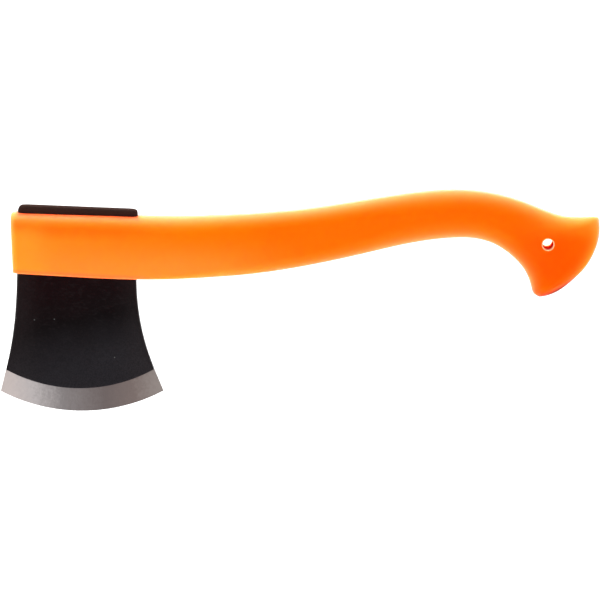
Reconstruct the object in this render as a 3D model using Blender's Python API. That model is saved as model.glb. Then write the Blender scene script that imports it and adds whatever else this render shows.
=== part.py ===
"""One-hand hatchet: a forged steel head held in a two-shot moulded handle.

The hatchet stands upright in its own frame. +X runs along the handle from the head to the
butt, +Z points from the cutting edge to the poll, and Y is the thickness. The origin is the
middle of the grip. Lengths are in metres.
"""

import math

import bmesh
import bpy
import numpy as np

# Handle outline, as (x, z) points that a smooth curve runs through.
TOP_EDGE = [
    (-0.2341, 0.0010), (-0.2000, -0.0001), (-0.1675, -0.0011), (-0.1480, -0.0016),
    (-0.1250, -0.0009), (-0.1000, 0.0006), (-0.0750, 0.0030), (-0.0450, 0.0076),
    (-0.0200, 0.0114), (0.0000, 0.0130), (0.0180, 0.0119), (0.0330, 0.0085),
    (0.0480, 0.0028), (0.0600, -0.0013), (0.0690, -0.0020), (0.0768, -0.0017),
]
BOTTOM_EDGE = [
    (-0.2329, -0.0312), (-0.2000, -0.0331), (-0.1650, -0.0345), (-0.1350, -0.0340),
    (-0.1050, -0.0320), (-0.0750, -0.0276), (-0.0450, -0.0212), (-0.0200, -0.0157),
    (0.0000, -0.0132), (0.0120, -0.0133), (0.0230, -0.0162), (0.0310, -0.0212),
    (0.0373, -0.0272), (0.0413, -0.0335), (0.0434, -0.0400), (0.0443, -0.0425),
    (0.0474, -0.0446),
]
BUTT_EDGE = [
    (0.0792, -0.0034), (0.0796, -0.0085), (0.0788, -0.0150), (0.0760, -0.0226),
    (0.0715, -0.0297), (0.0652, -0.0359), (0.0581, -0.0413), (0.0518, -0.0439),
    (0.0474, -0.0446),
]
FAN_START = 0.018          # from here the ribs of the handle fan out into the hooked butt
SHAFT_LENGTH = FAN_START - TOP_EDGE[0][0]

# Handle section: half thickness, depth of the rounding on each edge, and how square it is
# (2 is an ellipse). Each is a list of (x, value) stations.
HALF_THICKNESS = [
    (-0.165, 0.0123), (-0.060, 0.0116), (0.000, 0.0110), (0.045, 0.0105), (0.065, 0.0100),
]
TOP_ROUNDING = [
    (-0.200, 0.0070), (-0.150, 0.0085), (-0.060, 0.0088), (0.000, 0.0132), (0.030, 0.0120),
    (0.052, 0.0150),
]
BOTTOM_ROUNDING = [(-0.165, 0.0015), (-0.080, 0.0080), (0.000, 0.0132), (0.050, 0.0095)]
TOP_SQUARENESS = [(-0.200, 2.6), (-0.060, 2.2), (0.000, 2.0)]
BOTTOM_SQUARENESS = [(-0.165, 14.0), (-0.120, 5.0), (-0.070, 2.6), (0.000, 2.0), (0.050, 2.3)]
SIDE_FLAT = 0.3            # share of the height over which the sides are flat
SIDE_CROWN = 0.12          # share of the thickness that they lose from there to top and bottom
LEAST_ROUNDING = 0.0015    # no edge of the handle or the core is sharper
FRONT_ROUNDING = 0.0034    # upright edges of the handle's front end
FRONT_TOP_ROUNDING = 0.0016
FRONT_BOTTOM_ROUNDING = 0.0
TOE_ROUNDING = 0.0100      # how far the thickness takes to grow from the toe of the butt

# Inner moulding.
COVER_WALL = 0.0042        # orange cover over the flat sides of the core
COVER_EDGE_WALL = 0.0050   # orange cover above and below the core
CORE_FRONT = -0.2270
CORE_BACK = 0.0250

LANYARD_HOLE = (0.0517, -0.0156)
LANYARD_HOLE_RADIUS = 0.0029

# Head outline: the poll is a straight line, the sides are smooth curves, and the ground
# bevel and the cutting edge are circular arcs.
POLL_FRONT = (-0.2303, 0.0047)
POLL_BACK = (-0.1665, 0.0021)
POLL_FRONT_RADIUS = 0.0030
POLL_BACK_RADIUS = 0.0022
FRONT_SIDE = [
    (-0.2303, 0.0013), (-0.2306, -0.0168), (-0.2312, -0.0380), (-0.2323, -0.0553),
    (-0.2348, -0.0726), (-0.2372, -0.0838),
]
BACK_SIDE = [
    (-0.1665, -0.0004), (-0.1670, -0.0200), (-0.1673, -0.0380), (-0.1651, -0.0596),
    (-0.1605, -0.0769), (-0.1581, -0.0836),
]
BEVEL_TOP_RADIUS = 0.0816
EDGE_FRONT = (-0.2403, -0.0958)
EDGE_BACK = (-0.1531, -0.0956)
EDGE_RADIUS = 0.0930

# Head section.
HEAD_HALF = 0.0040         # eye and poll
BEVEL_TOP_HALF = 0.0028    # where the ground bevel starts
EDGE_HALF = 0.00015
TAPER_START = -0.0360      # the blade thins from here down
SQUARE_START = -0.0740     # the rounding of the sides dies away from here down to the bevel
POLL_CHAMFER = 0.0008
# Rounding along both sides, as (distance from the side, share of the half thickness).
SIDE_CHAMFER = [(0.0, 0.55), (0.0012, 0.86), (0.0030, 1.0)]

# Windows through the eye of the head, which the core is moulded through.
WINDOW_CENTRES = [(-0.2140, -0.0158), (-0.1850, -0.0168)]
WINDOW_RADIUS = 0.0065

GAP = 0.0003               # clearance between pieces that touch
CUTTER_LENGTH = 0.060      # long enough to pass through everything

# Fineness of the solids.
SHAFT_RIBS = 32
BUTT_RIBS_TOP = 14
BUTT_RIBS_END = 16
FRONT_RINGS = 4
CORE_RIBS = 22
HEAD_ROWS = 16
HEAD_COLUMNS = 13
CURVE_POINTS = 600
CORNER_REACH = 0.62        # 0.55 would make a round corner a circle

ORANGE = (1.0, 0.235, 0.012, 1.0)
CORE_GREY = (0.10, 0.10, 0.11, 1.0)
BLACK_COATING = (0.022, 0.018, 0.018, 1.0)


def clear_scene():
    for item in list(bpy.data.objects):
        bpy.data.objects.remove(item, do_unlink=True)


def make_material(name, colour, roughness, metallic):
    material = bpy.data.materials.new(name)
    material.use_nodes = True
    shader = material.node_tree.nodes["Principled BSDF"]
    shader.inputs["Base Color"].default_value = colour
    shader.inputs["Roughness"].default_value = roughness
    shader.inputs["Metallic"].default_value = metallic
    return material


def smooth_curve(points, count):
    """Evenly spread points on the natural cubic spline through the given points."""
    p = np.array(points, float)
    s = np.concatenate([[0.0], np.cumsum(np.linalg.norm(np.diff(p, axis=0), axis=1))])
    h = np.diff(s)
    slope = np.diff(p, axis=0) / h[:, None]
    system = np.eye(len(p))
    bend = np.zeros_like(p)
    for i in range(1, len(p) - 1):
        system[i, i - 1 : i + 2] = h[i - 1], 2 * (h[i - 1] + h[i]), h[i]
        bend[i] = 6 * (slope[i] - slope[i - 1])
    bend = np.linalg.solve(system, bend)
    t = np.linspace(0.0, s[-1], count)
    i = np.clip(np.searchsorted(s, t, side="right") - 1, 0, len(h) - 1)
    a = (s[i + 1] - t)[:, None]
    b = (t - s[i])[:, None]
    w = h[i][:, None]
    cubic = (bend[i] * a**3 + bend[i + 1] * b**3) / (6 * w)
    linear = (p[i] / w - bend[i] * w / 6) * a + (p[i + 1] / w - bend[i + 1] * w / 6) * b
    return cubic + linear


def arc_length(curve):
    steps = np.linalg.norm(np.diff(curve, axis=0), axis=1)
    return np.concatenate([[0.0], np.cumsum(steps)])


def at_fractions(curve, fractions):
    """Points at these shares of the curve's length."""
    s = arc_length(curve)
    where = np.array(fractions) * s[-1]
    return np.stack([np.interp(where, s, curve[:, k]) for k in (0, 1)], axis=1)


def circle_arc(start, end, radius, fractions):
    """Points on the arc from start to end that bulges towards -Z."""
    (x0, z0), (x1, z1) = start, end
    half_chord = math.hypot(x1 - x0, z1 - z0) / 2
    rise = math.sqrt(radius**2 - half_chord**2)
    lean = math.atan2(z1 - z0, x1 - x0)
    cx = (x0 + x1) / 2 - rise * math.sin(lean)
    cz = (z0 + z1) / 2 + rise * math.cos(lean)
    half_angle = math.asin(half_chord / radius)
    angles = lean - math.pi / 2 + half_angle * (2 * np.array(fractions) - 1)
    return np.stack([cx + radius * np.cos(angles), cz + radius * np.sin(angles)], axis=1)


def round_corner(start, corner, end, count):
    """Points of a rounded corner from start to end."""
    start, corner, end = (np.array(point, float) for point in (start, corner, end))
    first = start + (corner - start) * CORNER_REACH
    second = end + (corner - end) * CORNER_REACH
    t = np.linspace(0.0, 1.0, count)[:, None]
    outer = (1 - t) ** 3 * start + t**3 * end
    return outer + 3 * t * (1 - t) * ((1 - t) * first + t * second)


def stations(x, pairs):
    """Value at x, easing from each (x, value) station to the next."""
    value = pairs[0][1]
    for (x0, v0), (x1, v1) in zip(pairs, pairs[1:]):
        if x > x0:
            t = min((x - x0) / (x1 - x0), 1.0)
            value = v0 + (v1 - v0) * t * t * (3 - 2 * t)
    return value


def mesh_from_rings(rings, close_start, close_end):
    """A bmesh with quads between rings of equal length. The end closers get a ring's vertices."""
    bm = bmesh.new()
    loops = [[bm.verts.new(p) for p in ring] for ring in rings]
    count = len(loops[0])
    for lower, upper in zip(loops, loops[1:]):
        for i in range(count):
            j = (i + 1) % count
            bm.faces.new((lower[i], lower[j], upper[j], upper[i]))
    close_start(bm, loops[0])
    close_end(bm, loops[-1])
    bmesh.ops.recalc_face_normals(bm, faces=bm.faces)
    return bm


def close_with_face(bm, loop):
    bm.faces.new(loop)


def close_with_strip(bm, loop):
    """Fills a flat ring whose two halves run side by side."""
    columns = len(loop) // 2
    for i in range(columns - 1):
        bm.faces.new((loop[i], loop[i + 1], loop[-2 - i], loop[-1 - i]))


def make_object(name, bm, material, parent=None, smooth_angle=35):
    mesh = bpy.data.meshes.new(name)
    bm.to_mesh(mesh)
    bm.free()
    mesh.shade_smooth()
    mesh.set_sharp_from_angle(angle=math.radians(smooth_angle))
    item = bpy.data.objects.new(name, mesh)
    if material:
        mesh.materials.append(material)
    item.parent = parent
    bpy.context.scene.collection.objects.link(item)
    return item


def make_cutter(name, bm):
    item = make_object(name, bm, None)
    item.hide_render = True
    item.display_type = "WIRE"
    return item


def cut(target, *cutters):
    for cutter in cutters:
        boolean = target.modifiers.new("cut_" + cutter.name, "BOOLEAN")
        boolean.operation = "DIFFERENCE"
        boolean.solver = "EXACT"
        boolean.object = cutter


def cross_cylinder(name, centre, radius, sides=32):
    """A cutter along Y, centred on an (x, z) point."""
    rings = []
    for y in (-CUTTER_LENGTH / 2, CUTTER_LENGTH / 2):
        ring = []
        for angle in np.linspace(0, 2 * math.pi, sides, endpoint=False):
            x = centre[0] + radius * math.cos(angle)
            ring.append((x, y, centre[1] + radius * math.sin(angle)))
        rings.append(ring)
    return make_cutter(name, mesh_from_rings(rings, close_with_face, close_with_face))


# ---------------------------------------------------------------- handle


def tip_of_butt():
    """The small rounded corner between the top edge and the butt edge."""
    corner = (BUTT_EDGE[0][0], TOP_EDGE[-1][1])
    return list(round_corner(TOP_EDGE[-1], corner, BUTT_EDGE[0], 5)[1:-1])


def shaft_ribs(start, end, count):
    """(top, bottom) point pairs between two places on the shaft, 0 at its front and 1 at the fan."""
    top = smooth_curve(TOP_EDGE, CURVE_POINTS)
    bottom = smooth_curve(BOTTOM_EDGE, CURVE_POINTS)
    ribs = []
    for t in np.linspace(start, end, count):
        top_x = TOP_EDGE[0][0] + (FAN_START - TOP_EDGE[0][0]) * t
        bottom_x = BOTTOM_EDGE[0][0] + (FAN_START - BOTTOM_EDGE[0][0]) * t
        top_z = np.interp(top_x, top[:, 0], top[:, 1])
        bottom_z = np.interp(bottom_x, bottom[:, 0], bottom[:, 1])
        ribs.append(((top_x, top_z), (bottom_x, bottom_z)))
    return ribs


def butt_ribs():
    """Ribs that turn round the hooked butt, from its inner curve to its top edge, tip and toe."""
    top = smooth_curve(TOP_EDGE, CURVE_POINTS)
    bottom = smooth_curve(BOTTOM_EDGE, CURVE_POINTS)
    top = top[top[:, 0] > FAN_START]
    bottom = bottom[bottom[:, 0] > FAN_START]
    outer = list(at_fractions(top, np.linspace(0, 1, BUTT_RIBS_TOP)))
    outer += tip_of_butt()
    toe_ward = np.sin(np.linspace(0, math.pi / 2, BUTT_RIBS_END))
    outer += list(at_fractions(smooth_curve(BUTT_EDGE, CURVE_POINTS), toe_ward[:-1]))
    outer = np.array(outer)
    toe = np.array(BUTT_EDGE[-1])
    along = arc_length(np.vstack([outer, toe]))
    inner = at_fractions(bottom, along[:-1] / along[-1])
    return list(zip(outer, inner))


def handle_section(rib, thinner=0.0, lowered=0.0, raised=0.0, scale=1.0, steps=4):
    """Points round one rib. thinner comes off each side, lowered off the top, raised off the bottom."""
    top, bottom = np.array(rib[0]), np.array(rib[1])
    middle_x = (top[0] + bottom[0]) / 2
    length = np.linalg.norm(bottom - top)
    down = (bottom - top) / length
    half = (stations(middle_x, HALF_THICKNESS) - thinner) * scale
    top_depth = max(stations(middle_x, TOP_ROUNDING) - lowered, LEAST_ROUNDING)
    bottom_depth = max(stations(middle_x, BOTTOM_ROUNDING) - raised, LEAST_ROUNDING)
    # The two roundings share a short rib, and the sixth power keeps that change gradual.
    room = length - lowered - raised
    fit = (1 + ((top_depth + bottom_depth) / room) ** 6) ** (-1 / 6)
    out = np.sin(np.linspace(0, math.pi / 2, steps + 1))
    top_in = 1 - np.sqrt(np.maximum(0.0, 1 - out ** stations(middle_x, TOP_SQUARENESS)))
    bottom_in = 1 - np.sqrt(np.maximum(0.0, 1 - out ** stations(middle_x, BOTTOM_SQUARENESS)))
    from_top = lowered + top_depth * fit * top_in
    from_bottom = length - raised - bottom_depth * fit * bottom_in[::-1]
    spare = (from_bottom[0] - from_top[-1]) / 4
    flat_top = max(length * (1 - SIDE_FLAT) / 2, from_top[-1] + spare)
    flat_bottom = min(length * (1 + SIDE_FLAT) / 2, from_bottom[0] - spare)
    depth = np.concatenate([from_top, [flat_top, flat_bottom], from_bottom])
    off_flat = np.maximum(np.abs(2 * depth / length - 1) - SIDE_FLAT, 0.0) / (1 - SIDE_FLAT)
    y = half * np.concatenate([out, [1.0, 1.0], out[::-1]]) * (1 - SIDE_CROWN * off_flat**2)
    xz = top + down * depth[:, None]
    near = [(x, -h, z) for (x, z), h in zip(xz, y)]
    far = [(x, h, z) for (x, z), h in zip(xz[1:-1], y[1:-1])]
    return near + far[::-1]


def outer_handle():
    """The outside of the cover, as one closed body."""
    rings = []
    rounded = FRONT_ROUNDING / SHAFT_LENGTH
    for angle in np.linspace(0, math.pi / 2, FRONT_RINGS):
        place = rounded * (1 - math.cos(angle))
        rib = shaft_ribs(place, place, 1)[0]
        share = 1 - math.sin(angle)
        rings.append(handle_section(
            rib, FRONT_ROUNDING * share, FRONT_TOP_ROUNDING * share, FRONT_BOTTOM_ROUNDING * share,
        ))
    rings += [handle_section(rib) for rib in shaft_ribs(rounded, 1, SHAFT_RIBS)[1:-1]]
    ribs = butt_ribs()
    middles = np.array([(np.array(a) + np.array(b)) / 2 for a, b in ribs] + [BUTT_EDGE[-1]])
    to_toe = arc_length(middles)
    for rib, along in zip(ribs, to_toe):
        left = min((to_toe[-1] - along) / TOE_ROUNDING, 1.0)
        rings.append(handle_section(rib, scale=math.sqrt(1 - (1 - left) ** 2)))
    return mesh_from_rings(rings, close_with_face, close_with_face)


def inner_handle(grow):
    """The core's outer shape. grow enlarges it all round, for the hollow that holds it."""
    start = (CORE_FRONT - grow - TOP_EDGE[0][0]) / SHAFT_LENGTH
    end = (CORE_BACK + grow - TOP_EDGE[0][0]) / SHAFT_LENGTH
    rings = []
    for rib in shaft_ribs(start, end, CORE_RIBS):
        edge_wall = COVER_EDGE_WALL - grow
        rings.append(handle_section(rib, COVER_WALL - grow, edge_wall, edge_wall, steps=3))
    return mesh_from_rings(rings, close_with_face, close_with_face)


# ---------------------------------------------------------------- head


def side_curve(corner, along_poll, radius, side):
    """Side of the head from the poll's corner, round its radius, down to the bevel's top."""
    start = np.array(corner) + np.array(along_poll) * radius
    knee = round_corner(start, corner, side[0], 5)
    lower = at_fractions(smooth_curve(side, CURVE_POINTS), np.linspace(0, 1, HEAD_ROWS))
    return np.vstack([knee[:-1], lower])


def head_columns(width):
    """Shares of the head's width from front to back, and of its half thickness at each."""
    near = [distance / width for distance, _ in SIDE_CHAMFER]
    across = np.linspace(near[-1], 1 - near[-1], HEAD_COLUMNS)[1:-1]
    columns = near + list(across) + [1 - c for c in reversed(near)]
    shares = [share for _, share in SIDE_CHAMFER]
    return np.array(columns), shares + [1.0] * len(across) + shares[::-1]


def coons_rows(left, right, top, bottom, columns):
    """Rows of points that fill the outline between two sides, a top line and a bottom line."""
    left_shares = arc_length(left) / arc_length(left)[-1]
    right_shares = arc_length(right) / arc_length(right)[-1]
    c = columns[:, None]
    rows = []
    for a, b, down in zip(left, right, (left_shares + right_shares) / 2):
        sides = (1 - c) * a + c * b
        ends = (1 - down) * top + down * bottom
        top_corners = (1 - c) * left[0] + c * right[0]
        bottom_corners = (1 - c) * left[-1] + c * right[-1]
        rows.append(sides + ends - (1 - down) * top_corners - down * bottom_corners)
    return rows


def head_rings(grow):
    """Rings round the head from poll to edge. grow enlarges it, for the slot that holds it."""
    slope = math.atan2(POLL_BACK[1] - POLL_FRONT[1], POLL_BACK[0] - POLL_FRONT[0])
    along = np.array([math.cos(slope), math.sin(slope)])
    left = side_curve(POLL_FRONT, along, POLL_FRONT_RADIUS, FRONT_SIDE) + (-grow, grow)
    right = side_curve(POLL_BACK, -along, POLL_BACK_RADIUS, BACK_SIDE) + (grow, grow)
    columns, shares = head_columns(BACK_SIDE[0][0] - FRONT_SIDE[0][0])
    poll = left[0] + (right[0] - left[0]) * columns[:, None]
    bevel_top = circle_arc(left[-1], right[-1], BEVEL_TOP_RADIUS, columns)
    edge = circle_arc(EDGE_FRONT, EDGE_BACK, EDGE_RADIUS, columns)

    rings = []
    for row in coons_rows(left, right, poll, bevel_top, columns):
        halves = []
        for (_, z), (_, poll_z), share in zip(row, poll, shares):
            thin = np.clip((TAPER_START - z) / (TAPER_START - FRONT_SIDE[-1][1]), 0, 1)
            square = np.clip((SQUARE_START - z) / (SQUARE_START - FRONT_SIDE[-1][1]), 0, 1)
            share = share + (1 - share) * square
            half = (HEAD_HALF + (BEVEL_TOP_HALF - HEAD_HALF) * thin) * share
            chamfered = max(0.0, POLL_CHAMFER - (poll_z - z))
            halves.append(max(half - chamfered, EDGE_HALF) + grow)
        rings.append(ring_of_row(row, halves))
    for t in (0.5, 1.0):
        row = bevel_top + (edge - bevel_top) * t
        ground = BEVEL_TOP_HALF + (EDGE_HALF - BEVEL_TOP_HALF) * t
        rings.append(ring_of_row(row, [min(h, ground + grow) for h in halves]))
    return rings


def ring_of_row(row, halves):
    front = [(x, -h, z) for (x, z), h in zip(row, halves)]
    back = [(x, h, z) for (x, z), h in zip(row, halves)]
    return front + back[::-1]


def head_body(grow):
    return mesh_from_rings(head_rings(grow), close_with_strip, close_with_strip)


# ---------------------------------------------------------------- assembly


def main():
    clear_scene()
    hatchet = bpy.data.objects.new("hatchet", None)
    bpy.context.scene.collection.objects.link(hatchet)

    orange = make_material("orange_cover", ORANGE, 0.45, 0.0)
    grey = make_material("grey_core", CORE_GREY, 0.6, 0.0)
    black = make_material("black_coating", BLACK_COATING, 0.4, 0.0)

    head = make_object("axe_head", head_body(0.0), black, hatchet)
    core = make_object("handle_core", inner_handle(0.0), grey, hatchet)
    cover = make_object("handle_cover", outer_handle(), orange, hatchet)

    for k, centre in enumerate(WINDOW_CENTRES):
        cut(head, cross_cylinder(f"window_{k}", centre, WINDOW_RADIUS))
    slot = make_cutter("head_slot", head_body(GAP))
    core_slot = make_cutter("core_slot", head_body(GAP))
    for k, centre in enumerate(WINDOW_CENTRES):
        cut(core_slot, cross_cylinder(f"peg_{k}", centre, WINDOW_RADIUS - GAP))
    cut(core, core_slot)

    hollow = make_cutter("core_hollow", inner_handle(GAP))
    lanyard = cross_cylinder("lanyard_bore", LANYARD_HOLE, LANYARD_HOLE_RADIUS)
    cut(cover, hollow, slot, lanyard)


main()
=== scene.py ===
"""Looks of the one-hand hatchet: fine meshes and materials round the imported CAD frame.

Same axes as the CAD: +X from the head to the butt, +Z from the cutting edge to the poll, Y is
the thickness, and the origin is the middle of the grip. Lengths are in metres.
"""

import math

import bmesh
import bpy
import numpy as np
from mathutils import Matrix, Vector, noise


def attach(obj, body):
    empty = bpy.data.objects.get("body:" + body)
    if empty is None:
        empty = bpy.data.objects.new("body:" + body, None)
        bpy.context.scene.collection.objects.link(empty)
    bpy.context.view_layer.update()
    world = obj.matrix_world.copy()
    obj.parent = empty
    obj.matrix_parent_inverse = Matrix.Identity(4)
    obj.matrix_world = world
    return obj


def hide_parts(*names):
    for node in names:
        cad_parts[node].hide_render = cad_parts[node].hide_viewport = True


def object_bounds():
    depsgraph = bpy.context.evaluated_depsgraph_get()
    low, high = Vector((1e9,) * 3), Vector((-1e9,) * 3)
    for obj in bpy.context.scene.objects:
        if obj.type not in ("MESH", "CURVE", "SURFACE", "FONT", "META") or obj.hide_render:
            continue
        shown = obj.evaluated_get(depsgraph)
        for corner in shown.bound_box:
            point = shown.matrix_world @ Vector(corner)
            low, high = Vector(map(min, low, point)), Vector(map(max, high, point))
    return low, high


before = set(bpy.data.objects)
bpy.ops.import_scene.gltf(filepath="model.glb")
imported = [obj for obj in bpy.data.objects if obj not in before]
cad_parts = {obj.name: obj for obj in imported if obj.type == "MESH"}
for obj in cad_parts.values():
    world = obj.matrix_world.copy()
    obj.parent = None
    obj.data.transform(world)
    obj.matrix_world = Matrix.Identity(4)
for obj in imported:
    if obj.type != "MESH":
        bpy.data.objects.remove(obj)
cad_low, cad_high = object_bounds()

# ---------------------------------------------------------------- driving dimensions

# Handle outline, as (x, z) points that a smooth curve runs through.
TOP_EDGE = [
    (-0.2341, 0.0010), (-0.2000, -0.0001), (-0.1675, -0.0011), (-0.1480, -0.0016),
    (-0.1250, -0.0009), (-0.1000, 0.0006), (-0.0750, 0.0030), (-0.0450, 0.0076),
    (-0.0200, 0.0114), (0.0000, 0.0130), (0.0180, 0.0119), (0.0330, 0.0085),
    (0.0480, 0.0028), (0.0600, -0.0013), (0.0690, -0.0020), (0.0768, -0.0017),
]
BOTTOM_EDGE = [
    (-0.2329, -0.0312), (-0.2000, -0.0331), (-0.1650, -0.0345), (-0.1350, -0.0340),
    (-0.1050, -0.0320), (-0.0750, -0.0276), (-0.0450, -0.0212), (-0.0200, -0.0157),
    (0.0000, -0.0132), (0.0120, -0.0133), (0.0230, -0.0162), (0.0310, -0.0212),
    (0.0373, -0.0272), (0.0413, -0.0335), (0.0434, -0.0400), (0.0443, -0.0425),
    (0.0474, -0.0446),
]
BUTT_EDGE = [
    (0.0792, -0.0034), (0.0796, -0.0085), (0.0788, -0.0150), (0.0760, -0.0226),
    (0.0715, -0.0297), (0.0652, -0.0359), (0.0581, -0.0413), (0.0518, -0.0439),
    (0.0474, -0.0446),
]
FAN_START = 0.018          # from here the ribs of the handle fan out into the hooked butt
SHAFT_LENGTH = FAN_START - TOP_EDGE[0][0]

# Handle section, as (x, value) stations: half thickness, depth of the rounding on each edge,
# and how square that rounding is (2 is an ellipse).
HALF_THICKNESS = [
    (-0.165, 0.0123), (-0.060, 0.0116), (0.000, 0.0110), (0.045, 0.0105), (0.065, 0.0100),
]
TOP_ROUNDING = [
    (-0.200, 0.0070), (-0.150, 0.0085), (-0.060, 0.0088), (0.000, 0.0132), (0.030, 0.0120),
    (0.052, 0.0150),
]
BOTTOM_ROUNDING = [(-0.165, 0.0015), (-0.080, 0.0080), (0.000, 0.0132), (0.050, 0.0095)]
TOP_SQUARENESS = [(-0.200, 2.6), (-0.060, 2.2), (0.000, 2.0)]
BOTTOM_SQUARENESS = [(-0.165, 14.0), (-0.120, 5.0), (-0.070, 2.6), (0.000, 2.0), (0.050, 2.3)]
LEAST_ROUNDING = 0.0015
FRONT_ROUNDING = 0.0034
FRONT_TOP_ROUNDING = 0.0016
FRONT_BOTTOM_ROUNDING = 0.0
TOE_ROUNDING = 0.0100
SIDE_CROWN = 0.12          # share of the thickness that the flat sides lose towards their edges

# The hollow round the core, and the lanyard hole.
HOLLOW_WALL = 0.0039
HOLLOW_EDGE_WALL = 0.0047
HOLLOW_FRONT = -0.2273
HOLLOW_BACK = 0.0253
LANYARD_HOLE = (0.0517, -0.0156)
LANYARD_HOLE_RADIUS = 0.0029
LANYARD_RIM = 0.0006       # rounding of the hole's two rims

# Head outline and section.
POLL_FRONT = (-0.2303, 0.0047)
POLL_BACK = (-0.1665, 0.0021)
POLL_FRONT_RADIUS = 0.0030
POLL_BACK_RADIUS = 0.0022
FRONT_SIDE = [
    (-0.2303, 0.0013), (-0.2306, -0.0168), (-0.2312, -0.0380), (-0.2323, -0.0553),
    (-0.2348, -0.0726), (-0.2372, -0.0838),
]
BACK_SIDE = [
    (-0.1665, -0.0004), (-0.1670, -0.0200), (-0.1673, -0.0380), (-0.1651, -0.0596),
    (-0.1605, -0.0769), (-0.1581, -0.0836),
]
BEVEL_TOP_RADIUS = 0.0816
EDGE_FRONT = (-0.2403, -0.0958)
EDGE_BACK = (-0.1531, -0.0956)
EDGE_RADIUS = 0.0930
HEAD_HALF = 0.0040
BEVEL_TOP_HALF = 0.0028
EDGE_HALF = 0.00015
TAPER_START = -0.0360
SQUARE_START = -0.0740
POLL_CHAMFER = 0.0008
SIDE_ROLL = 0.0030         # width of the rolled edge along both sides of the blade
SIDE_FLAT = 0.55           # share of the half thickness left at the very side
SEAM = 0.0001              # clearance between the steel and the moulding round it
WINDOW_CENTRES = [(-0.2140, -0.0158), (-0.1850, -0.0168)]
WINDOW_RADIUS = 0.0065     # of the hidden windows that the core is moulded through

# Fineness of the meshes.
CURVE_POINTS = 2000
SHAFT_RIBS = 320
BUTT_TOP_RIBS = 80
TIP_RIBS = 12
BUTT_END_RIBS = 110
HOLLOW_RIBS = 60
CIRCLE_POINTS = 64
ARC_STEPS = 9              # points over a quarter turn
HEAD_FINENESS = (110, 90)  # rows down each side, and points across
SLOT_FINENESS = (40, 30)
BEVEL_ROWS = 12
KNEE_POINTS = 10           # round each corner of the poll
COVER_SHARP_ANGLE = 32     # degrees between faces from which an edge stays sharp
HEAD_SHARP_ANGLE = 20
FORGED_UNEVENNESS = 0.00008
FORGED_SCALE = 110         # bumps per metre
CORNER_SOFTNESS = 7        # how far the butt's tip is evened out, in ribs
CORNER_FADE = (15, 45)     # ribs from the tip over which the evening out dies away
CORNER_REACH = 0.62        # 0.55 would make a round corner a circle
MERGE_DISTANCE = 0.000002  # points of a cut mesh that are closer than this become one

# Colours of the handle: (share of the length from the head, colour) and what replaces it in places. The
# deepening from the head to the butt is painted shade, and the colours that replace it are painted
# light and shade.
COLOUR_AND_PAINTED_SHADE_ALONG = [
    (0.00, (0.97, 0.185, 0.0100)),
    (0.10, (0.97, 0.178, 0.0080)),
    (0.15, (0.97, 0.165, 0.0060)),
    (0.32, (0.97, 0.145, 0.0010)),
    (0.45, (0.97, 0.120, 0.0006)),
    (0.80, (0.97, 0.106, 0.0003)),
]
EYE_LOW_PAINTED_LIGHT = (0.97, 0.200, 0.0220)
EYE_TOP_PAINTED_SHADE = (0.97, 0.105, 0.0010)
EYE_FRONT_PAINTED_LIGHT = (0.97, 0.240, 0.0180)
EYE_BOTTOM_EDGE_PAINTED_SHADE = (0.97, 0.125, 0.0400)
FRONT_EDGE_PAINTED_LIGHT = (0.97, 0.270, 0.0500)
SEAM_PAINTED_SHADE = (0.95, 0.080, 0.0150)
RIM_PAINTED_LIGHT = (0.97, 0.190, 0.0350)
RIM_LINE_PAINTED_HIGHLIGHT = (0.97, 0.270, 0.2000)
BUTT_PAINTED_SHADE = (0.95, 0.072, 0.0003)
BUTT_RIM_PAINTED_LIGHT = (0.97, 0.180, 0.0030)
BUTT_CREST_PAINTED_LIGHT = (0.97, 0.210, 0.0120)
TOE_PAINTED_SHADE = (0.70, 0.030, 0.0040)
TOE_EDGE_PAINTED_SHADE = (0.22, 0.019, 0.0012)
HOLE_RIM_PAINTED_HIGHLIGHT = (0.97, 0.520, 0.2800)
HOLE_PAINTED_SHADE = (0.90, 0.035, 0.0200)
BUTT_MIDDLE = (0.0534, 0.0, -0.0255)
TOE = (0.0520, 0.0, -0.0480)

# Studio: brightness of the dome in each direction, the floor and the camera.
SKY_FRONT = 0.08
SKY_SIDE = 2.6
SKY_BACK = 3.8
SKY_TOP = 3.2
FLOOR_DROP = 0.5           # below the cutting edge
FLOOR_REACH = 40.0
FLOOR_WHITE = 0.70
CAMERA_ELEVATION = 8.0     # degrees above the side view
CAMERA_DISTANCE = 2.75
CAMERA_LENS = 309.0        # mm, on a sensor 36 mm wide
CAMERA_AIM = (0.00025, 0.0, 0.0001)    # from the middle of the hatchet's box
# Soft lights: name, direction from the hatchet, distance, width and power in watts.
LIGHTS = [
    ("overhead", (-0.1, 0.1, 1.0), 0.9, 0.9, 13.0),
    ("left_light", (-1.0, -0.25, 0.2), 1.3, 0.8, 3.0),
    ("right_light", (1.0, -0.1, 0.8), 1.2, 0.8, 3.2),
    ("front_card", (-0.1, -0.75, -0.66), 0.6, 0.7, 2.4),
]


# ---------------------------------------------------------------- curves

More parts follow.
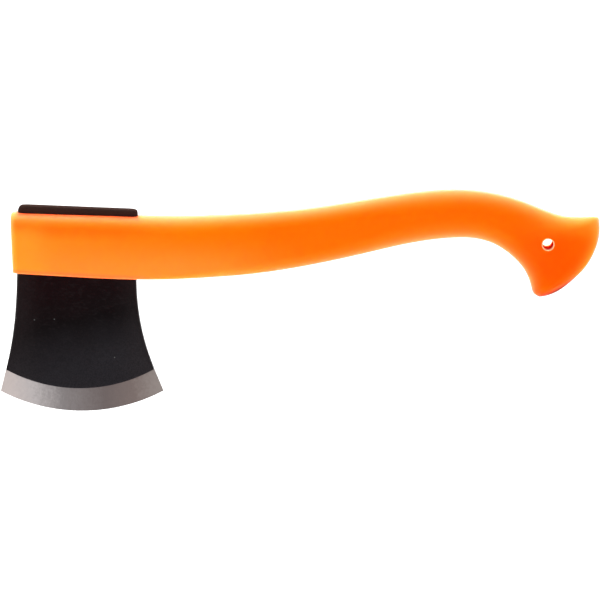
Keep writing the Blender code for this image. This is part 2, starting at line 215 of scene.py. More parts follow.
def smooth_curve(points, count):
    """Evenly spread points on the natural cubic spline through the given points."""
    p = np.array(points, float)
    s = np.concatenate([[0.0], np.cumsum(np.linalg.norm(np.diff(p, axis=0), axis=1))])
    h = np.diff(s)
    slope = np.diff(p, axis=0) / h[:, None]
    system = np.eye(len(p))
    bend = np.zeros_like(p)
    for i in range(1, len(p) - 1):
        system[i, i - 1 : i + 2] = h[i - 1], 2 * (h[i - 1] + h[i]), h[i]
        bend[i] = 6 * (slope[i] - slope[i - 1])
    bend = np.linalg.solve(system, bend)
    t = np.linspace(0.0, s[-1], count)
    i = np.clip(np.searchsorted(s, t, side="right") - 1, 0, len(h) - 1)
    a = (s[i + 1] - t)[:, None]
    b = (t - s[i])[:, None]
    w = h[i][:, None]
    cubic = (bend[i] * a**3 + bend[i + 1] * b**3) / (6 * w)
    linear = (p[i] / w - bend[i] * w / 6) * a + (p[i + 1] / w - bend[i + 1] * w / 6) * b
    return cubic + linear


def arc_length(curve):
    steps = np.linalg.norm(np.diff(curve, axis=0), axis=1)
    return np.concatenate([[0.0], np.cumsum(steps)])


def at_fractions(curve, fractions):
    """Points at these shares of the curve's length."""
    s = arc_length(curve)
    where = np.array(fractions) * s[-1]
    return np.stack([np.interp(where, s, curve[:, k]) for k in (0, 1)], axis=1)


def arc_centre(start, end, radius):
    (x0, z0), (x1, z1) = start, end
    half_chord = math.hypot(x1 - x0, z1 - z0) / 2
    rise = math.sqrt(radius**2 - half_chord**2)
    lean = math.atan2(z1 - z0, x1 - x0)
    return (x0 + x1) / 2 - rise * math.sin(lean), (z0 + z1) / 2 + rise * math.cos(lean)


def circle_arc(start, end, radius, fractions):
    """Points on the arc from start to end that bulges towards -Z."""
    cx, cz = arc_centre(start, end, radius)
    first = math.atan2(start[1] - cz, start[0] - cx)
    last = math.atan2(end[1] - cz, end[0] - cx)
    angles = first + (last - first) * np.array(fractions)
    return np.stack([cx + radius * np.cos(angles), cz + radius * np.sin(angles)], axis=1)


def round_corner(start, corner, end, count):
    """Points of a rounded corner from start to end."""
    start, corner, end = (np.array(point, float) for point in (start, corner, end))
    first = start + (corner - start) * CORNER_REACH
    second = end + (corner - end) * CORNER_REACH
    t = np.linspace(0.0, 1.0, count)[:, None]
    outer = (1 - t) ** 3 * start + t**3 * end
    return outer + 3 * t * (1 - t) * ((1 - t) * first + t * second)


def stations(x, pairs):
    """Value at x, easing from each (x, value) station to the next."""
    value = pairs[0][1]
    for (x0, v0), (x1, v1) in zip(pairs, pairs[1:]):
        if x > x0:
            t = min((x - x0) / (x1 - x0), 1.0)
            value = v0 + (v1 - v0) * t * t * (3 - 2 * t)
    return value


def ease(value, low, high):
    t = np.clip((value - low) / (high - low), 0.0, 1.0)
    return t * t * (3 - 2 * t)


# ---------------------------------------------------------------- mesh helpers

def ring_mesh(name, rings, strip_ends=False):
    """A closed mesh object with quads between rings of equal length."""
    count = len(rings[0])
    faces = []
    for r in range(len(rings) - 1):
        for i in range(count):
            j = (i + 1) % count
            faces.append((r * count + i, r * count + j, (r + 1) * count + j, (r + 1) * count + i))
    last = (len(rings) - 1) * count
    if strip_ends:
        for i in range(count // 2 - 1):
            faces.append((i + 1, i, count - 1 - i, count - 2 - i))
            faces.append((last + i, last + i + 1, last + count - 2 - i, last + count - 1 - i))
    else:
        faces.append(tuple(range(count - 1, -1, -1)))
        faces.append(tuple(range(last, last + count)))
    mesh = bpy.data.meshes.new(name)
    mesh.from_pydata([tuple(p) for ring in rings for p in ring], [], faces)
    mesh.update()
    item = bpy.data.objects.new(name, mesh)
    bpy.context.scene.collection.objects.link(item)
    return item


def circle(centre, radius, y):
    """Points round a circle that faces along Y. The centre is (x, z)."""
    angles = np.linspace(0, 2 * math.pi, CIRCLE_POINTS, endpoint=False)
    x = centre[0] + radius * np.cos(angles)
    z = centre[1] + radius * np.sin(angles)
    return [(a, y, b) for a, b in zip(x, z)]


def facing_out(item):
    """Turns the faces round where the mesh is inside out."""
    mesh = item.data
    volume = 0.0
    for face in mesh.polygons:
        volume += face.center.dot(face.normal) * face.area
    if volume < 0:
        mesh.flip_normals()
    return item


def cut(target, *cutters):
    """Takes the cutters out of target for good."""
    for cutter in cutters:
        boolean = target.modifiers.new("cut", "BOOLEAN")
        boolean.operation = "DIFFERENCE"
        boolean.solver = "EXACT"
        boolean.object = cutter
    bpy.context.view_layer.update()
    evaluated = target.evaluated_get(bpy.context.evaluated_depsgraph_get())
    target.data = bpy.data.meshes.new_from_object(evaluated)
    target.modifiers.clear()
    for cutter in cutters:
        bpy.data.objects.remove(cutter, do_unlink=True)
    merged = bmesh.new()
    merged.from_mesh(target.data)
    bmesh.ops.remove_doubles(merged, verts=merged.verts, dist=MERGE_DISTANCE)
    merged.to_mesh(target.data)
    merged.free()


def smooth(item, degrees):
    item.data.shade_smooth()
    item.data.set_sharp_from_angle(angle=math.radians(degrees))


# ---------------------------------------------------------------- handle cover

def shaft_ribs(places):
    """(top, bottom) points at places along the shaft, 0 at its front and 1 at the fan."""
    top = smooth_curve(TOP_EDGE, CURVE_POINTS)
    bottom = smooth_curve(BOTTOM_EDGE, CURVE_POINTS)
    ribs = []
    for t in places:
        top_x = TOP_EDGE[0][0] + (FAN_START - TOP_EDGE[0][0]) * t
        bottom_x = BOTTOM_EDGE[0][0] + (FAN_START - BOTTOM_EDGE[0][0]) * t
        top_z = np.interp(top_x, top[:, 0], top[:, 1])
        bottom_z = np.interp(bottom_x, bottom[:, 0], bottom[:, 1])
        ribs.append((np.array((top_x, top_z)), np.array((bottom_x, bottom_z))))
    return ribs


def tip_of_butt(count):
    """The small rounded corner between the top edge and the butt edge."""
    corner = (BUTT_EDGE[0][0], TOP_EDGE[-1][1])
    return list(round_corner(TOP_EDGE[-1], corner, BUTT_EDGE[0], count + 2)[1:-1])


def butt_ribs(count_top, count_tip, count_butt):
    """Ribs that turn round the hooked butt, from its inner curve to its top edge, tip and toe."""
    top = smooth_curve(TOP_EDGE, CURVE_POINTS)
    bottom = smooth_curve(BOTTOM_EDGE, CURVE_POINTS)
    top = top[top[:, 0] > FAN_START]
    bottom = bottom[bottom[:, 0] > FAN_START]
    outer = list(at_fractions(top, np.linspace(0, 1, count_top)))
    outer += tip_of_butt(count_tip)
    toe_ward = np.sin(np.linspace(0, math.pi / 2, count_butt))
    outer += list(at_fractions(smooth_curve(BUTT_EDGE, CURVE_POINTS), toe_ward[:-1]))
    outer = np.array(outer)
    toe = np.array(BUTT_EDGE[-1])
    along = arc_length(np.vstack([outer, toe]))
    inner = at_fractions(bottom, along[:-1] / along[-1])
    return list(zip(outer, inner))


def handle_section(rib, thinner=0.0, lowered=0.0, raised=0.0, scale=1.0, steps=14, side_steps=8):
    """Points round one rib. thinner comes off each side, lowered off its top, raised off its bottom."""
    top, bottom = rib
    middle_x = (top[0] + bottom[0]) / 2
    length = np.linalg.norm(bottom - top)
    down = (bottom - top) / length
    half = (stations(middle_x, HALF_THICKNESS) - thinner) * scale
    top_depth = max(stations(middle_x, TOP_ROUNDING) - lowered, LEAST_ROUNDING)
    bottom_depth = max(stations(middle_x, BOTTOM_ROUNDING) - raised, LEAST_ROUNDING)
    # The two roundings share a short rib, and the sixth power keeps that change gradual.
    room = length - lowered - raised
    fit = (1 + ((top_depth + bottom_depth) / room) ** 6) ** (-1 / 6)
    out = np.sin(np.linspace(0, math.pi / 2, steps + 1))
    top_in = 1 - np.sqrt(np.maximum(0.0, 1 - out ** stations(middle_x, TOP_SQUARENESS)))
    bottom_in = 1 - np.sqrt(np.maximum(0.0, 1 - out ** stations(middle_x, BOTTOM_SQUARENESS)))
    from_top = lowered + top_depth * fit * top_in
    from_bottom = length - raised - bottom_depth * fit * bottom_in[::-1]
    side = np.linspace(from_top[-1], from_bottom[0], side_steps + 2)[1:-1]
    depth = np.concatenate([from_top, side, from_bottom])
    y = half * np.concatenate([out, np.ones(side_steps), out[::-1]])
    y = y * (1 - SIDE_CROWN * (2 * depth / length - 1) ** 2)
    xz = top + down * depth[:, None]
    near = [(x, -h, z) for (x, z), h in zip(xz, y)]
    far = [(x, h, z) for (x, z), h in zip(xz[1:-1], y[1:-1])]
    return near + far[::-1]


def soften_corner(rings, corner):
    """Evens out the surface inside the outline's corner at this ring. The outline stays."""
    rings = np.array(rings)
    reach = np.arange(-3 * CORNER_SOFTNESS, 3 * CORNER_SOFTNESS + 1)
    kernel = np.exp(-0.5 * (reach / CORNER_SOFTNESS) ** 2)
    evened = sum(k * np.roll(rings, -r, axis=0) for k, r in zip(kernel / kernel.sum(), reach))
    round_ring = np.linspace(0, 2 * math.pi, rings.shape[1], endpoint=False)
    inside = ease(np.abs(np.sin(round_ring)), 0.0, 0.5)
    near = 1 - ease(np.abs(np.arange(len(rings)) - corner), *CORNER_FADE)
    return rings + (evened - rings) * near[:, None, None] * inside[None, :, None]


def handle_outside():
    rings = []
    rounded = FRONT_ROUNDING / SHAFT_LENGTH
    for angle in np.linspace(0, math.pi / 2, ARC_STEPS):
        share = 1 - math.sin(angle)
        rib = shaft_ribs([rounded * (1 - math.cos(angle))])[0]
        rings.append(handle_section(
            rib, FRONT_ROUNDING * share, FRONT_TOP_ROUNDING * share, FRONT_BOTTOM_ROUNDING * share,
        ))
    along_shaft = np.linspace(rounded, 1, SHAFT_RIBS)[1:-1]
    rings += [handle_section(rib) for rib in shaft_ribs(along_shaft)]
    ribs = butt_ribs(BUTT_TOP_RIBS, TIP_RIBS, BUTT_END_RIBS)
    middles = np.array([(a + b) / 2 for a, b in ribs] + [BUTT_EDGE[-1]])
    to_toe = arc_length(middles)
    for rib, along in zip(ribs, to_toe):
        left = min((to_toe[-1] - along) / TOE_ROUNDING, 1.0)
        rings.append(handle_section(rib, scale=math.sqrt(1 - (1 - left) ** 2)))
    tip = len(rings) - len(ribs) + BUTT_TOP_RIBS + TIP_RIBS // 2
    rings = soften_corner(rings, tip)
    rings[:, :, 0] = np.minimum(rings[:, :, 0], cad_high[0])
    return facing_out(ring_mesh("handle_cover_fine", rings))


def core_hollow():
    """A cutter for the space round the hidden core."""
    start = (HOLLOW_FRONT - TOP_EDGE[0][0]) / SHAFT_LENGTH
    end = (HOLLOW_BACK - TOP_EDGE[0][0]) / SHAFT_LENGTH
    rings = []
    for rib in shaft_ribs(np.linspace(start, end, HOLLOW_RIBS)):
        rings.append(handle_section(
            rib, HOLLOW_WALL, HOLLOW_EDGE_WALL, HOLLOW_EDGE_WALL, steps=5, side_steps=1,
        ))
    return facing_out(ring_mesh("hollow", rings))


def lanyard_bore():
    """A cutter along Y whose ends flare where they leave the handle, for rounded rims."""
    # The crown makes the side a little lower at the hole.
    face = stations(LANYARD_HOLE[0], HALF_THICKNESS) * 0.995
    profile = [(0.0, LANYARD_HOLE_RADIUS)]
    for angle in np.linspace(0, math.pi / 2, ARC_STEPS):
        out = LANYARD_RIM * (1 - math.cos(angle))
        profile.append((face - LANYARD_RIM * (1 - math.sin(angle)), LANYARD_HOLE_RADIUS + out))
    profile.append((face + 0.003, LANYARD_HOLE_RADIUS + LANYARD_RIM))
    profile = [(-y, r) for y, r in reversed(profile[1:])] + profile
    rings = [circle(LANYARD_HOLE, radius, y) for y, radius in profile]
    return facing_out(ring_mesh("lanyard_bore", rings))


# ---------------------------------------------------------------- head

def side_curve(corner, along_poll, radius, side, rows):
    """Side of the head from the poll's corner, round its radius, down to the bevel's top."""
    start = np.array(corner) + np.array(along_poll) * radius
    knee = round_corner(start, corner, side[0], KNEE_POINTS)
    lower = at_fractions(smooth_curve(side, CURVE_POINTS), np.linspace(0, 1, rows))
    return np.vstack([knee[:-1], lower])


def head_columns(width, across):
    """Shares of the head's width from front to back, closer together near the sides."""
    near = SIDE_ROLL / width * (1 - np.cos(np.linspace(0, math.pi / 2, ARC_STEPS)))
    middle = np.linspace(near[-1], 1 - near[-1], across)[1:-1]
    return np.concatenate([near, middle, 1 - near[::-1]])


def side_share(distance):
    """Share of the half thickness at this distance from the head's side: a rolled edge."""
    inward = np.clip(distance / SIDE_ROLL, 0, 1)
    return SIDE_FLAT + (1 - SIDE_FLAT) * np.sqrt(1 - (1 - inward) ** 2)


def head_rings(grow, rows, across, forged):
    """Rings round the head from poll to edge. grow enlarges it, for the slot that holds it."""
    slope = math.atan2(POLL_BACK[1] - POLL_FRONT[1], POLL_BACK[0] - POLL_FRONT[0])
    along = np.array([math.cos(slope), math.sin(slope)])
    left = side_curve(POLL_FRONT, along, POLL_FRONT_RADIUS, FRONT_SIDE, rows) + (-grow, grow)
    right = side_curve(POLL_BACK, -along, POLL_BACK_RADIUS, BACK_SIDE, rows) + (grow, grow)
    width = BACK_SIDE[0][0] - FRONT_SIDE[0][0]
    columns = head_columns(width, across)
    shares = side_share(np.minimum(columns, 1 - columns) * width)
    poll = left[0] + (right[0] - left[0]) * columns[:, None]
    bevel_top = circle_arc(left[-1], right[-1], BEVEL_TOP_RADIUS, columns)
    edge = circle_arc(EDGE_FRONT, EDGE_BACK, EDGE_RADIUS, columns)
    left_shares = arc_length(left) / arc_length(left)[-1]
    right_shares = arc_length(right) / arc_length(right)[-1]
    c = columns[:, None]
    rings = []
    for a, b, down in zip(left, right, (left_shares + right_shares) / 2):
        # A Coons patch between the poll, the bevel's top and the two sides.
        sides = (1 - c) * a + c * b
        ends = (1 - down) * poll + down * bevel_top
        corners = (1 - down) * ((1 - c) * left[0] + c * right[0])
        corners = corners + down * ((1 - c) * left[-1] + c * right[-1])
        row = sides + ends - corners
        thin = np.clip((TAPER_START - row[:, 1]) / (TAPER_START - FRONT_SIDE[-1][1]), 0, 1)
        square = ease(SQUARE_START - row[:, 1], 0, SQUARE_START - FRONT_SIDE[-1][1])
        half = (HEAD_HALF + (BEVEL_TOP_HALF - HEAD_HALF) * thin) * (shares + (1 - shares) * square)
        below_poll = np.clip((poll[:, 1] - row[:, 1]) / POLL_CHAMFER, 0, 1)
        half = half - POLL_CHAMFER * (1 - np.sqrt(1 - (1 - below_poll) ** 2))
        rings.append(ring_of_row(row, half + grow, forged))
    for t in np.linspace(0, 1, BEVEL_ROWS + 1)[1:]:
        row = bevel_top + (edge - bevel_top) * t
        ground = BEVEL_TOP_HALF + (EDGE_HALF - BEVEL_TOP_HALF) * t
        rings.append(ring_of_row(row, np.minimum(half, ground) + grow, 0.0))
    return rings


def ring_of_row(row, halves, forged):
    """forged is the height of the slight unevenness that hammering leaves below the eye."""
    near, far = [], []
    for (x, z), half in zip(row, halves):
        uneven = forged * ease(-z, 0.036, 0.045) * ease(z, -0.0875, -0.078)
        spot = Vector((x, 0, z)) * FORGED_SCALE
        near.append((x, -half - uneven * noise.noise(spot), z))
        far.append((x, half + uneven * noise.noise(spot + Vector((0, 7, 0))), z))
    return near + far[::-1]


def head_outside():
    rings = head_rings(0.0, *HEAD_FINENESS, FORGED_UNEVENNESS)
    return facing_out(ring_mesh("axe_head_fine", rings, strip_ends=True))


def head_slot():
    """A cutter for the slot that holds the head."""
    rings = head_rings(SEAM, *SLOT_FINENESS, 0.0)
    return facing_out(ring_mesh("slot", rings, strip_ends=True))


def window(centre):
    """A cutter along Y through the eye of the head."""
    rings = [circle(centre, WINDOW_RADIUS, y) for y in (-2 * HEAD_HALF, 2 * HEAD_HALF)]
    return facing_out(ring_mesh("window", rings))


# ---------------------------------------------------------------- materials

def new_material(name):
    material = bpy.data.materials.new(name)
    material.use_nodes = True
    return material, material.node_tree, material.node_tree.nodes["Principled BSDF"]


def add(tree, kind, inputs=(), **settings):
    """Adds a node. inputs gives (input name or number, value or output socket) pairs."""
    node = tree.nodes.new("ShaderNode" + kind)
    for key, value in settings.items():
        setattr(node, key, value)
    for key, value in inputs:
        put(tree, node, key, value)
    return node


def put(tree, node, key, value):
    if isinstance(value, bpy.types.NodeSocket):
        tree.links.new(value, node.inputs[key])
    else:
        node.inputs[key].default_value = value


def maths(tree, operation, a, b=0.0):
    return add(tree, "Math", [(0, a), (1, b)], operation=operation).outputs[0]


def ramp(tree, factor, stops):
    node = add(tree, "ValToRGB", [("Fac", factor)])
    elements = node.color_ramp.elements
    while len(elements) < len(stops):
        elements.new(1.0)
    for element, (position, colour) in zip(elements, stops):
        element.position = position
        element.color = (*colour, 1.0)
    return node.outputs["Color"]


def noise_at(tree, vector, scale, detail=2.0, roughness=0.5):
    pairs = [("Vector", vector), ("Scale", scale), ("Detail", detail), ("Roughness", roughness)]
    return add(tree, "TexNoise", pairs).outputs["Fac"]


def between(tree, value, low, high, to_low=0.0, to_high=1.0):
    pairs = [("Value", value), ("From Min", low), ("From Max", high)]
    pairs += [("To Min", to_low), ("To Max", to_high)]
    return add(tree, "MapRange", pairs, interpolation_type="SMOOTHSTEP").outputs["Result"]


def mix(tree, factor, first, second):
    """first where the factor is 0 and second where it is 1."""
    pairs = [("Factor", factor), (6, first), (7, second)]
    return add(tree, "Mix", pairs, data_type="RGBA").outputs[2]


def region(tree, *edges, strength=1.0):
    """Product of the strength and of eased steps, each (value, where it is 0, where it is 1)."""
    share = strength
    for value, none, full in edges:
        share = maths(tree, "MULTIPLY", between(tree, value, none, full), share)
    return share


def tint(tree, colour, new, *edges, strength=1.0):
    """The colour, turned to the new one in a region."""
    return mix(tree, region(tree, *edges, strength=strength), colour, (*new, 1.0))


def place(tree):
    """Object coordinates, in metres, and their three parts."""
    vector = add(tree, "TexCoord").outputs["Object"]
    parts = add(tree, "SeparateXYZ", [(0, vector)]).outputs
    return vector, parts["X"], parts["Y"], parts["Z"]


def distance_from(tree, vector, point):
    pairs = [(0, vector), (1, point)]
    return add(tree, "VectorMath", pairs, operation="DISTANCE").outputs["Value"]


def handle_colour_and_painted_light(tree, vector, x, z):
    """The handle's colour away from its edges, with painted light and shade: paler at the head, deeper
    towards the butt.
    """
    along = maths(tree, "DIVIDE", maths(tree, "SUBTRACT", x, cad_low[0]), cad_high[0] - cad_low[0])
    cloud = maths(tree, "SUBTRACT", noise_at(tree, vector, 28.0), 0.5)
    share = maths(tree, "ADD", along, maths(tree, "MULTIPLY", cloud, 0.06))
    colour = ramp(tree, share, COLOUR_AND_PAINTED_SHADE_ALONG)
    # Round the eye, painted shade deepens the colour near the top, and painted light makes it paler low
    # down and in front.
    colour = tint(tree, colour, EYE_LOW_PAINTED_LIGHT, (z, -0.010, -0.032), (x, -0.060, -0.150))
    band = [(z, 0.002, -0.003), (z, -0.0145, -0.0075), (x, -0.130, -0.180)]
    colour = tint(tree, colour, EYE_TOP_PAINTED_SHADE, *band, strength=0.65)
    colour = tint(tree, colour, EYE_FRONT_PAINTED_LIGHT, (x, -0.208, -0.228), (z, -0.002, -0.012), strength=0.8)
    # Painted shade makes the thick of the butt the deepest part of all.
    from_butt = distance_from(tree, vector, BUTT_MIDDLE)
    return tint(tree, colour, BUTT_PAINTED_SHADE, (from_butt, 0.036, 0.008))


def painted_rim_light(tree, colour, x, z, outward, toe_ward, butt_rim):
    """Painted light: paler rounded edges, all round the handle but for the eye's lower edge and the
    toe.
    """
    shaft = between(tree, x, -0.150, -0.100)
    upper = maths(tree, "MAXIMUM", shaft, between(tree, z, -0.024, -0.018))
    off_toe = between(tree, toe_ward, 0.0075, 0.0040)
    rim = maths(tree, "MULTIPLY", region(tree, (outward, 0.92, 0.20)), upper)
    rim = maths(tree, "MULTIPLY", rim, off_toe)
    rim_colour = mix(tree, butt_rim, (*RIM_PAINTED_LIGHT, 1.0), (*BUTT_RIM_PAINTED_LIGHT, 1.0))
    colour = mix(tree, rim, colour, rim_colour)
    # Painted highlight: a paler line along the very top and bottom edges.
    line = maths(tree, "MULTIPLY", region(tree, (outward, 0.42, 0.08), strength=0.9), shaft)
    line = maths(tree, "MULTIPLY", line, off_toe)
    colour = mix(tree, line, colour, (*RIM_LINE_PAINTED_HIGHLIGHT, 1.0))
    # Painted light pales the crest of the butt.
    crest = [(x, 0.030, 0.075), (z, -0.015, -0.004)]
    return tint(tree, colour, BUTT_CREST_PAINTED_LIGHT, *crest, strength=0.6)


def painted_eye_edge_light_and_shade(tree, colour, x, z, outward):
    """Painted shade and light on the edges of the eye block: painted shade makes them redder below and
    where the poll stands out of it, painted light makes them paler in front.
    """
    above = maths(tree, "ADD", maths(tree, "MULTIPLY", x, 0.053), maths(tree, "ADD", z, 0.0435))
    bottom_edge = [(above, 0.0034, 0.0010), (x, -0.150, -0.170)]
    colour = tint(tree, colour, EYE_BOTTOM_EDGE_PAINTED_SHADE, *bottom_edge, strength=0.7)
    # Painted shade along the seam where the poll stands out of the eye block.
    seam = [(outward, 0.84, 0.42), (x, -0.1645, -0.1672), (x, -0.2325, -0.2290), (z, -0.006, -0.002)]
    colour = tint(tree, colour, SEAM_PAINTED_SHADE, *seam)
    return tint(tree, colour, FRONT_EDGE_PAINTED_LIGHT, (x, -0.2308, -0.2332), strength=0.5)


def orange_plastic():
    """Dyed orange plastic; painted shade deepens its colour from the head to the butt, and painted
    light and shade mark its edges, toe and lanyard hole.
    """
    material, tree, shader = new_material("orange_plastic")
    vector, x, y, z = place(tree)
    # Share of the half thickness: 0 on the middle plane and 1 on the flat sides.
    from_middle = maths(tree, "ABSOLUTE", y)
    half = maths(tree, "SUBTRACT", 0.01065, maths(tree, "MULTIPLY", x, 0.01))
    outward = maths(tree, "DIVIDE", from_middle, half)
    # Grows towards the toe's lower edge, and is above 0 only near it.
    toe_ward = maths(tree, "SUBTRACT", maths(tree, "MULTIPLY", x, 0.5), maths(tree, "ADD", z, 0.062))
    butt_rim = region(tree, (x, 0.045, 0.062), (z, -0.002, -0.010))
    toe_edge = region(tree, (toe_ward, 0.0030, 0.0078), (outward, 0.97, 0.75))
    flat = add(tree, "CombineXYZ", [(0, x), (2, z)]).outputs[0]
    from_axis = distance_from(tree, flat, (LANYARD_HOLE[0], 0.0, LANYARD_HOLE[1]))
    bore = between(tree, from_axis, LANYARD_HOLE_RADIUS + 0.0002, LANYARD_HOLE_RADIUS)

    colour = handle_colour_and_painted_light(tree, vector, x, z)
    colour = painted_rim_light(tree, colour, x, z, outward, toe_ward, butt_rim)
    colour = painted_eye_edge_light_and_shade(tree, colour, x, z, outward)
    # Painted shade: the toe is darker, as it gets little light through the plastic.
    from_toe = distance_from(tree, vector, TOE)
    colour = tint(tree, colour, TOE_PAINTED_SHADE, (from_toe, 0.0140, 0.0105), strength=0.45)
    # Painted shade: a dark line along the toe's lower edge.
    colour = mix(tree, toe_edge, colour, (*TOE_EDGE_PAINTED_SHADE, 1.0))
    # Painted light and shade in the lanyard hole: a painted highlight pales its rims, and painted shade
    # makes it deep red inside.
    hole_rim = (from_axis, LANYARD_HOLE_RADIUS + 0.0007, LANYARD_HOLE_RADIUS + 0.0002)
    colour = tint(tree, colour, HOLE_RIM_PAINTED_HIGHLIGHT, hole_rim, strength=0.85)
    inside = between(tree, from_middle, 0.0070, 0.0045)
    colour = mix(tree, maths(tree, "MULTIPLY", bore, inside), colour, (*HOLE_PAINTED_SHADE, 1.0))
    put(tree, shader, "Base Color", colour)

    mottle = noise_at(tree, vector, 260.0, 3.0)
    put(tree, shader, "Roughness", between(tree, mottle, 0.3, 0.7, 0.46, 0.54))
    unlit = maths(tree, "MAXIMUM", bore, toe_edge)
    unlit = maths(tree, "MAXIMUM", maths(tree, "MULTIPLY", butt_rim, 0.6), unlit)
    specular = maths(tree, "MULTIPLY", maths(tree, "SUBTRACT", 1.0, unlit), 0.22)
    put(tree, shader, "Specular IOR Level", specular)
    put(tree, shader, "Specular Tint", (0.50, 0.30, 0.03, 1.0))
    weight = maths(tree, "MULTIPLY", maths(tree, "SUBTRACT", 1.0, toe_edge), 0.8)
    put(tree, shader, "Subsurface Weight", weight)
    put(tree, shader, "Subsurface Radius", (0.006, 0.005, 0.0012))
    put(tree, shader, "Subsurface Scale", 1.0)
    grain = noise_at(tree, vector, 2600.0, 2.0)
    bump = add(tree, "Bump", [("Strength", 0.05), ("Distance", 0.0002), ("Height", grain)])
    put(tree, shader, "Normal", bump.outputs["Normal"])
    return material


def black_coating():
    """Black epoxy with a fine orange-peel surface and a few specks of dust."""
    material, tree, shader = new_material("black_coating")
    vector, x, _, z = place(tree)
    # Painted light and shade: the coat is darker and reddish near the handle and paler grey lower down,
    # with a cloud of random tone through it.
    cloud = maths(tree, "MULTIPLY", noise_at(tree, vector, 45.0, 5.0, 0.6), 0.30)
    down = maths(tree, "SUBTRACT", maths(tree, "MULTIPLY", x, 0.25), z)
    share = maths(tree, "ADD", cloud, region(tree, (down, -0.020, 0.048), strength=0.85))
    colour = ramp(tree, share, [
        (0.15, (0.0045, 0.0006, 0.0010)),
        (0.45, (0.0020, 0.0010, 0.0013)),
        (0.95, (0.0100, 0.0090, 0.0108)),
    ])
    # Painted sheen: the coat is a little greyer towards both sides of the blade.
    middle = (FRONT_SIDE[0][0] + BACK_SIDE[0][0]) / 2
    aside = maths(tree, "ABSOLUTE", maths(tree, "SUBTRACT", x, middle))
    colour = tint(tree, colour, (0.0160, 0.0125, 0.0130), (aside, 0.016, 0.036), strength=0.35)
    # Painted sheen: the poll's top is a paler brown, and its specular is turned off further down.
    poll = between(tree, z, -0.004, 0.001)
    colour = mix(tree, poll, colour, (0.025, 0.0135, 0.0110, 1.0))
    # A fine mottle, a grain that runs across the blade, and a few specks of dust.
    fine = between(tree, noise_at(tree, vector, 1500.0, 3.0, 0.7), 0.3, 0.7, 0.70, 1.35)
    colour = add(tree, "VectorMath", [(0, colour), ("Scale", fine)], operation="SCALE").outputs[0]
    pairs = [(0, vector), (1, (0.45, 1.0, 1.0))]
    stretched = add(tree, "VectorMath", pairs, operation="MULTIPLY").outputs[0]
    grain = noise_at(tree, stretched, 900.0, 4.0, 0.65)
    colour = tint(tree, colour, (0.0130, 0.0100, 0.0108), (grain, 0.48, 0.72), strength=0.38)
    flat = add(tree, "CombineXYZ", [(0, x), (1, z)]).outputs[0]
    pairs = [("Vector", flat), ("Scale", 95.0)]
    speck = add(tree, "TexVoronoi", pairs, feature="F1", voronoi_dimensions="2D")
    near = maths(tree, "LESS_THAN", speck.outputs["Distance"], 0.035)
    rare = add(tree, "SeparateColor", [(0, speck.outputs["Color"])]).outputs["Red"]
    dust = maths(tree, "MULTIPLY", near, maths(tree, "GREATER_THAN", rare, 0.90))
    put(tree, shader, "Base Color", mix(tree, dust, colour, (0.055, 0.055, 0.055, 1.0)))
    mottle = noise_at(tree, vector, 420.0, 3.0)
    put(tree, shader, "Roughness", between(tree, mottle, 0.3, 0.7, 0.34, 0.46))
    specular = maths(tree, "MULTIPLY", maths(tree, "SUBTRACT", 1.0, poll), 0.2)
    put(tree, shader, "Specular IOR Level", specular)
    put(tree, shader, "Specular Tint", (0.10, 0.10, 0.10, 1.0))
    bumps = noise_at(tree, vector, 1700.0, 2.0)
    bump = add(tree, "Bump", [("Strength", 0.35), ("Distance", 0.00006), ("Height", bumps)])
    put(tree, shader, "Normal", bump.outputs["Normal"])
    return material


def ground_steel():
    """Bare steel whose grinding marks run from the bevel's top down to the edge, with painted
    reflection across it.
    """
    material, tree, shader = new_material("ground_steel")
    vector, x, _, z = place(tree)
    cx, cz = arc_centre(EDGE_FRONT, EDGE_BACK, EDGE_RADIUS)
    dx = maths(tree, "SUBTRACT", x, cx)
    dz = maths(tree, "SUBTRACT", z, cz)
    angle = maths(tree, "ARCTAN2", dx, maths(tree, "MULTIPLY", dz, -1.0))
    across = maths(tree, "MULTIPLY", angle, EDGE_RADIUS)
    squares = maths(tree, "ADD", maths(tree, "MULTIPLY", dx, dx), maths(tree, "MULTIPLY", dz, dz))
    down = maths(tree, "MULTIPLY", maths(tree, "SQRT", squares), 0.06)
    grind = add(tree, "CombineXYZ", [(0, across), (1, down)]).outputs[0]
    streaks = noise_at(tree, grind, 3200.0, 3.0, 0.6)
    broad = noise_at(tree, grind, 160.0, 3.0)
    mottle = noise_at(tree, vector, 650.0, 4.0, 0.6)
    # Painted reflection: across the bevel the steel is pale at the front, darkest past the middle and a
    # little paler at the back; broad bands, streaks and mottle break it up.
    width = EDGE_BACK[0] - EDGE_FRONT[0]
    share = maths(tree, "DIVIDE", maths(tree, "SUBTRACT", x, EDGE_FRONT[0]), width)
    for value, strength in ((broad, 0.08), (streaks, 0.06), (mottle, 0.16)):
        uneven = maths(tree, "MULTIPLY", maths(tree, "SUBTRACT", value, 0.5), strength)
        share = maths(tree, "ADD", share, uneven)
    colour = ramp(tree, share, [
        (0.05, (0.190, 0.167, 0.160)),
        (0.20, (0.155, 0.143, 0.142)),
        (0.37, (0.076, 0.069, 0.069)),
        (0.64, (0.048, 0.039, 0.038)),
        (0.82, (0.061, 0.048, 0.045)),
        (0.96, (0.090, 0.077, 0.072)),
    ])
    put(tree, shader, "Base Color", colour)
    put(tree, shader, "Metallic", 1.0)
    put(tree, shader, "Roughness", between(tree, streaks, 0.3, 0.7, 0.34, 0.44))
    bump = add(tree, "Bump", [("Strength", 0.18), ("Distance", 0.00002), ("Height", streaks)])
    put(tree, shader, "Normal", bump.outputs["Normal"])
    return material


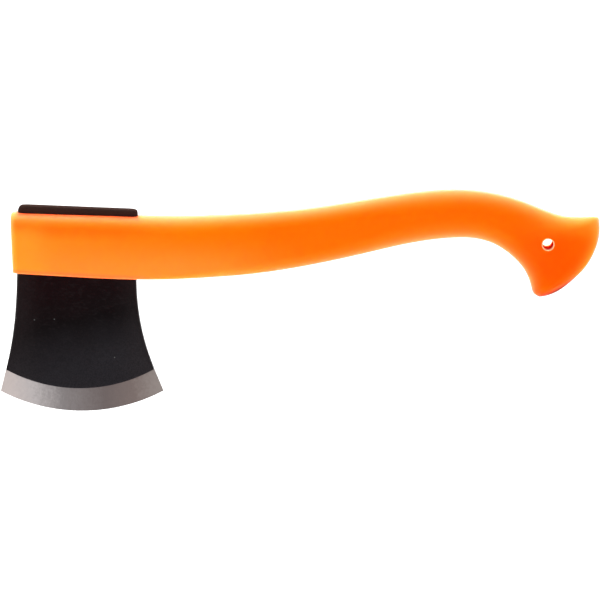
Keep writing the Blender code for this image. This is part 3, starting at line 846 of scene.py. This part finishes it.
def grey_core():
    """Glass-filled plastic of the hidden core."""
    material, tree, shader = new_material("grey_core")
    vector = place(tree)[0]
    fibres = noise_at(tree, vector, 900.0, 4.0)
    colour = ramp(tree, fibres, [(0.3, (0.08, 0.08, 0.09)), (0.7, (0.12, 0.12, 0.13))])
    put(tree, shader, "Base Color", colour)
    put(tree, shader, "Roughness", between(tree, fibres, 0.3, 0.7, 0.5, 0.65))
    return material


def pale_floor():
    material, tree, shader = new_material("pale_floor")
    put(tree, shader, "Base Color", (FLOOR_WHITE, FLOOR_WHITE, FLOOR_WHITE, 1.0))
    put(tree, shader, "Roughness", 0.9)
    put(tree, shader, "Specular IOR Level", 0.1)
    return material


# ---------------------------------------------------------------- pieces

def make_cover():
    cover = handle_outside()
    cut(cover, core_hollow(), head_slot(), lanyard_bore())
    cover.data.materials.clear()
    cover.data.materials.append(orange_plastic())
    smooth(cover, COVER_SHARP_ANGLE)
    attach(cover, "root")
    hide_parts("handle_cover")


def make_head():
    head = head_outside()
    cut(head, *map(window, WINDOW_CENTRES))
    head.data.materials.append(black_coating())
    head.data.materials.append(ground_steel())
    cx, cz = arc_centre(FRONT_SIDE[-1], BACK_SIDE[-1], BEVEL_TOP_RADIUS)
    for face in head.data.polygons:
        x, _, z = face.center
        below = math.hypot(x - cx, z - cz) > BEVEL_TOP_RADIUS and z < cz
        face.material_index = 1 if below and z < FRONT_SIDE[-2][1] else 0
    smooth(head, HEAD_SHARP_ANGLE)
    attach(head, "root")
    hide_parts("axe_head")


# ---------------------------------------------------------------- studio

def area_light(name, direction, distance, size, power, target):
    """A round light that faces the target."""
    light = bpy.data.lights.new(name, "AREA")
    light.shape = "DISK"
    light.size = size
    light.energy = power
    lamp = bpy.data.objects.new(name, light)
    bpy.context.scene.collection.objects.link(lamp)
    lamp.location = target + Vector(direction).normalized() * distance
    lamp.rotation_euler = (target - lamp.location).to_track_quat("-Z", "Y").to_euler()


def studio_sky():
    """A white dome: brightest overhead, bright at the back and sides, dim behind the camera."""
    world = bpy.data.worlds.new("studio")
    bpy.context.scene.world = world
    world.use_nodes = True
    tree = world.node_tree
    direction = add(tree, "TexCoord").outputs["Generated"]
    parts = add(tree, "SeparateXYZ", [(0, direction)]).outputs
    light = between(tree, parts["Y"], -0.6, 0.15, SKY_FRONT, SKY_SIDE)
    light = maths(tree, "ADD", light, between(tree, parts["Y"], 0.0, 0.7, 0.0, SKY_BACK - SKY_SIDE))
    light = maths(tree, "ADD", light, between(tree, parts["Z"], 0.3, 0.95, 0.0, SKY_TOP - SKY_SIDE))
    background = tree.nodes["Background"]
    put(tree, background, "Color", (1.0, 1.0, 1.0, 1.0))
    put(tree, background, "Strength", light)


def make_studio(centre):
    studio_sky()
    mesh = bpy.data.meshes.new("floor")
    level = cad_low[2] - FLOOR_DROP
    corners = [(-1, -1), (1, -1), (1, 1), (-1, 1)]
    points = [(x * FLOOR_REACH, y * FLOOR_REACH, level) for x, y in corners]
    mesh.from_pydata(points, [], [(0, 1, 2, 3)])
    floor = bpy.data.objects.new("floor", mesh)
    bpy.context.scene.collection.objects.link(floor)
    mesh.materials.append(pale_floor())

    for light in LIGHTS:
        area_light(*light, centre)


def make_camera(centre):
    camera = bpy.data.cameras.new("camera")
    camera.sensor_width = 36.0
    camera.lens = CAMERA_LENS
    item = bpy.data.objects.new("camera", camera)
    bpy.context.scene.collection.objects.link(item)
    elevation = math.radians(CAMERA_ELEVATION)
    away = Vector((0, -math.cos(elevation), math.sin(elevation)))
    item.location = centre + Vector(CAMERA_AIM) + away * CAMERA_DISTANCE
    item.rotation_euler = (math.pi / 2 - elevation, 0, 0)
    bpy.context.scene.camera = item


centre = (Vector(cad_low) + Vector(cad_high)) / 2
make_camera(centre)
make_cover()
make_head()
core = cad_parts["handle_core"]
core.data.materials.clear()
core.data.materials.append(grey_core())
make_studio(centre)
bpy.context.scene.view_settings.view_transform = "Standard"
